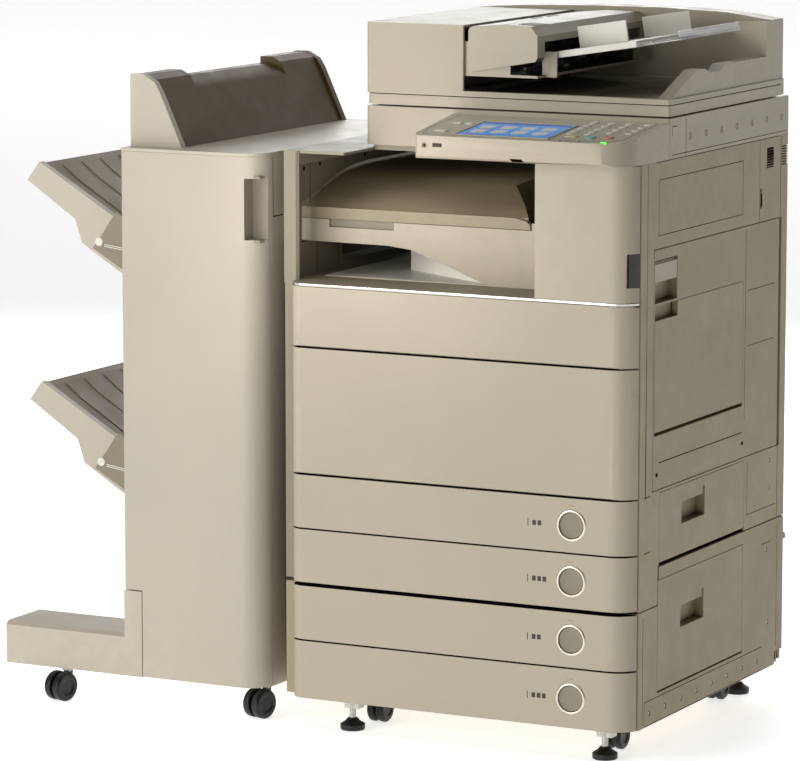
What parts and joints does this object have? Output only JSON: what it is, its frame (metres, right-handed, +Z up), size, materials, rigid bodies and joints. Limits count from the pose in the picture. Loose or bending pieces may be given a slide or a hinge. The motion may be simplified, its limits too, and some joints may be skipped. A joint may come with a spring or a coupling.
{
  "type": "photocopier",
  "caption": "Floor-standing office photocopier with document feeder, control panel, paper drawers, side doors and a stacking finisher on casters.",
  "frame": {"origin": "middle of the whole machine's base, on the floor", "axes": "+X to the right along the front, +Y from the front to the rear, +Z up"},
  "size_m": [1.132, 0.698, 1.1364],
  "materials": {
    "casing": "warm beige moulded plastic, fine grain",
    "side_casing": "warm beige moulded plastic, fine grain",
    "tray_dark": "dark taupe moulded plastic, ribbed",
    "inner_plastic": "grey-beige inner plastic",
    "frame_steel": "painted sheet steel",
    "black_plastic": "black satin plastic",
    "cassette_plastic": "dark grey moulded plastic",
    "white_plastic": "off-white satin plastic",
    "glass": "clear float glass",
    "clear_plastic": "clear plastic",
    "smoked_plastic": "smoked translucent plastic",
    "screen": "lit blue display",
    "key_green": "teal key",
    "key_red": "coral key",
    "belt": "smooth black belt",
    "drum": "glossy coated drum",
    "toner": "moulded bottle",
    "fuser": "brown fixing sleeve",
    "roller_rubber": "black rubber on steel"
  },
  "bodies": {
    "copier": {"pedestal_frame": "side_casing", "main_frame": "frame_steel", "right_side_cover": "side_casing", "rear_cover": "side_casing", "front_right_cover": "casing", "levelling_feet": "black_plastic", "output_tray": "inner_plastic", "output_fascia": "casing", "reader_housing": "casing", "platen_glass": "glass", "panel_housing": "casing", "panel_screen": "screen", "transfer_unit": "belt", "toner_bottles": "toner", "drum_units": "drum"},
    "scan_carriage": {"scan_carriage": "black_plastic"},
    "feeder": {"feeder_body": "casing"},
    "feeder_cover": {"feeder_cover": "casing"},
    "feed_roller": {"feed_roller": "roller_rubber"},
    "document_tray": {"document_tray": "white_plastic"},
    "document_extension": {"document_extension": "clear_plastic"},
    "document_guide_front": {"document_guide_front": "white_plastic"},
    "document_guide_rear": {"document_guide_rear": "white_plastic"},
    "start_key": {"start_key": "key_green"},
    "stop_key": {"stop_key": "key_red"},
    "number_keys": {"number_keys": "white_plastic"},
    "power_switch_cover": {"power_switch_cover": "smoked_plastic"},
    "power_switch": {"power_switch": "black_plastic"},
    "toner_cover": {"toner_cover": "casing"},
    "front_cover": {"front_cover": "casing"},
    "fuser_roller": {"fuser_roller": "fuser"},
    "right_door": {"right_door": "side_casing"},
    "door_latch": {"door_latch": "side_casing"},
    "bypass_tray": {"bypass_tray": "side_casing"},
    "lower_right_door": {"lower_right_door": "side_casing"},
    "pedestal_door": {"pedestal_door": "side_casing"},
    "front_caster_wheels": {"front_caster_wheels": "black_plastic"},
    "rear_caster_wheels": {"rear_caster_wheels": "black_plastic"},
    "finisher": {"finisher_frame": "casing"},
    "finisher_door": {"finisher_door": "casing"},
    "turret_cover": {"turret_cover": "tray_dark"},
    "upper_stack_tray": {"upper_stack_tray": "tray_dark"},
    "lower_stack_tray": {"lower_stack_tray": "tray_dark"},
    "finisher_fork_left": {"finisher_fork_left": "black_plastic"},
    "finisher_fork_right": {"finisher_fork_right": "black_plastic"},
    "finisher_wheel_left": {"finisher_wheel_left": "black_plastic"},
    "finisher_wheel_right": {"finisher_wheel_right": "black_plastic"},
    "finisher_rear_wheels": {"finisher_rear_wheels": "black_plastic"},
    "drawer_1": {"drawer_front_1": "casing", "cassette_1": "cassette_plastic"},
    "release_button_1": {"release_button_1": "side_casing"},
    "drawer_2": {"drawer_front_2": "casing", "cassette_2": "cassette_plastic"},
    "release_button_2": {"release_button_2": "side_casing"},
    "drawer_3": {"drawer_front_3": "casing", "cassette_3": "cassette_plastic"},
    "release_button_3": {"release_button_3": "side_casing"},
    "drawer_4": {"drawer_front_4": "casing", "cassette_4": "cassette_plastic"},
    "release_button_4": {"release_button_4": "side_casing"}
  },
  "joints": [
    {"name": "scan_carriage_travel", "type": "slide", "parent": "copier", "child": "scan_carriage", "axis": [1, 0, 0], "range_m": [0, 0.43]},
    {"name": "feeder_lift", "type": "hinge", "parent": "copier", "child": "feeder", "pos_m": [0.246, 0.299, 1.003], "axis": [-1, 0, 0], "range_deg": [0, 70]},
    {"name": "feeder_cover_open", "type": "hinge", "parent": "feeder", "child": "feeder_cover", "pos_m": [0.224, -0.003, 1.116], "axis": [0, -1, 0], "range_deg": [0, 75]},
    {"name": "feed_roller_spin", "type": "hinge", "parent": "feeder", "child": "feed_roller", "pos_m": [0.276, -0.003, 1.086], "axis": [0, 1, 0], "continuous": true},
    {"name": "document_tray_tilt", "type": "hinge", "parent": "feeder", "child": "document_tray", "pos_m": [0.35184, -0.003, 1.08099], "axis": [0, -1, 0], "range_deg": [0, 25]},
    {"name": "document_extension_slide", "type": "slide", "parent": "document_tray", "child": "document_extension", "axis": [0.9877, 0, 0.1564], "range_m": [-0.045, 0.03]},
    {"name": "document_guides", "type": "slide", "parent": "document_tray", "child": "document_guide_front", "axis": [0, 1, 0], "range_m": [-0.013, 0.085]},
    {"name": "document_guide_rear_slide", "type": "slide", "parent": "document_tray", "child": "document_guide_rear", "axis": [0, 1, 0], "range_m": [-0.085, 0.013]},
    {"name": "start_key_press", "type": "slide", "parent": "copier", "child": "start_key", "axis": [0, 0.1017, -0.9948], "range_m": [0, 0.0012], "stiffness_N_per_m": 400},
    {"name": "stop_key_press", "type": "slide", "parent": "copier", "child": "stop_key", "axis": [0, 0.1017, -0.9948], "range_m": [0, 0.0012], "stiffness_N_per_m": 400},
    {"name": "number_keys_press", "type": "slide", "parent": "copier", "child": "number_keys", "axis": [0, 0.1017, -0.9948], "range_m": [0, 0.0012], "stiffness_N_per_m": 900},
    {"name": "power_flap", "type": "hinge", "parent": "copier", "child": "power_switch_cover", "pos_m": [0.5528, -0.2894, 0.769], "axis": [0, 0, -1], "range_deg": [0, 100]},
    {"name": "power_rocker", "type": "hinge", "parent": "copier", "child": "power_switch", "pos_m": [0.546, -0.2755, 0.769], "axis": [-1, 0, 0], "range_deg": [0, 12]},
    {"name": "toner_cover_open", "type": "hinge", "parent": "copier", "child": "toner_cover", "pos_m": [0.246, -0.298, 0.6238], "axis": [1, 0, 0], "range_deg": [0, 85]},
    {"name": "front_cover_open", "type": "hinge", "parent": "copier", "child": "front_cover", "pos_m": [0.246, -0.298, 0.42], "axis": [1, 0, 0], "range_deg": [0, 85]},
    {"name": "fuser_spin", "type": "hinge", "parent": "copier", "child": "fuser_roller", "pos_m": [0.486, -0.003, 0.64], "axis": [0, 1, 0], "continuous": true},
    {"name": "right_door_open", "type": "hinge", "parent": "copier", "child": "right_door", "pos_m": [0.554, 0.273, 0.6], "axis": [0, 0, 1], "range_deg": [0, 80]},
    {"name": "door_latch_pull", "type": "hinge", "parent": "right_door", "child": "door_latch", "pos_m": [0.559, -0.18, 0.772], "axis": [0, -1, 0], "range_deg": [0, 32], "stiffness_Nm_per_rad": 0.05},
    {"name": "bypass_open", "type": "hinge", "parent": "right_door", "child": "bypass_tray", "pos_m": [0.56, -0.047, 0.511], "axis": [0, 1, 0], "range_deg": [0, 65]},
    {"name": "lower_right_door_open", "type": "hinge", "parent": "copier", "child": "lower_right_door", "pos_m": [0.561, -0.03, 0.306], "axis": [0, 1, 0], "range_deg": [0, 80]},
    {"name": "pedestal_door_open", "type": "hinge", "parent": "copier", "child": "pedestal_door", "pos_m": [0.561, -0.033, 0.102], "axis": [0, 1, 0], "range_deg": [0, 80]},
    {"name": "drawer_1_slide", "type": "slide", "parent": "copier", "child": "drawer_1", "axis": [0, -1, 0], "range_m": [0, 0.42]},
    {"name": "release_button_1_press", "type": "slide", "parent": "drawer_1", "child": "release_button_1", "axis": [0, 1, 0], "range_m": [0, 0.005], "stiffness_N_per_m": 250},
    {"name": "drawer_2_slide", "type": "slide", "parent": "copier", "child": "drawer_2", "axis": [0, -1, 0], "range_m": [0, 0.42]},
    {"name": "release_button_2_press", "type": "slide", "parent": "drawer_2", "child": "release_button_2", "axis": [0, 1, 0], "range_m": [0, 0.005], "stiffness_N_per_m": 250},
    {"name": "drawer_3_slide", "type": "slide", "parent": "copier", "child": "drawer_3", "axis": [0, -1, 0], "range_m": [0, 0.42]},
    {"name": "release_button_3_press", "type": "slide", "parent": "drawer_3", "child": "release_button_3", "axis": [0, 1, 0], "range_m": [0, 0.005], "stiffness_N_per_m": 250},
    {"name": "drawer_4_slide", "type": "slide", "parent": "copier", "child": "drawer_4", "axis": [0, -1, 0], "range_m": [0, 0.42]},
    {"name": "release_button_4_press", "type": "slide", "parent": "drawer_4", "child": "release_button_4", "axis": [0, 1, 0], "range_m": [0, 0.005], "stiffness_N_per_m": 250},
    {"name": "front_casters_roll", "type": "hinge", "parent": "copier", "child": "front_caster_wheels", "pos_m": [0.289, -0.203, 0.023], "axis": [1, 0, 0], "continuous": true},
    {"name": "rear_casters_roll", "type": "hinge", "parent": "copier", "child": "rear_caster_wheels", "pos_m": [0.289, 0.197, 0.023], "axis": [1, 0, 0], "continuous": true},
    {"name": "finisher_undock", "type": "slide", "parent": "copier", "child": "finisher", "axis": [-1, 0, 0], "range_m": [0, 0.3]},
    {"name": "finisher_door_open", "type": "hinge", "parent": "finisher", "child": "finisher_door", "pos_m": [-0.333, -0.297, 0.5], "axis": [0, 0, -1], "range_deg": [0, 100]},
    {"name": "turret_cover_open", "type": "hinge", "parent": "finisher", "child": "turret_cover", "pos_m": [-0.334, -0.003, 1.006], "axis": [0, -1, 0], "range_deg": [0, 60]},
    {"name": "upper_tray_lift", "type": "slide", "parent": "finisher", "child": "upper_stack_tray", "axis": [0, 0, 1], "range_m": [-0.15, 0.08]},
    {"name": "lower_tray_lift", "type": "slide", "parent": "finisher", "child": "lower_stack_tray", "axis": [0, 0, 1], "range_m": [-0.1, 0.13]},
    {"name": "finisher_caster_left_swivel", "type": "hinge", "parent": "finisher", "child": "finisher_fork_left", "pos_m": [-0.458, -0.285, 0.06], "axis": [0, 0, 1], "continuous": true},
    {"name": "finisher_caster_left_roll", "type": "hinge", "parent": "finisher_fork_left", "child": "finisher_wheel_left", "pos_m": [-0.4624, -0.30142, 0.024], "axis": [0.9659, -0.2588, 0], "continuous": true},
    {"name": "finisher_caster_right_swivel", "type": "hinge", "parent": "finisher", "child": "finisher_fork_right", "pos_m": [-0.104, -0.249, 0.06], "axis": [0, 0, 1], "continuous": true},
    {"name": "finisher_caster_right_roll", "type": "hinge", "parent": "finisher_fork_right", "child": "finisher_wheel_right", "pos_m": [-0.1084, -0.26542, 0.024], "axis": [0.9659, -0.2588, 0], "continuous": true},
    {"name": "finisher_rear_roll", "type": "hinge", "parent": "finisher", "child": "finisher_rear_wheels", "pos_m": [-0.284, 0.265, 0.024], "axis": [1, 0, 0], "continuous": true}
  ],
  "couplings": [
    {"joint": "document_guide_rear_slide", "follows": "document_guides", "ratio": -1}
  ]
}
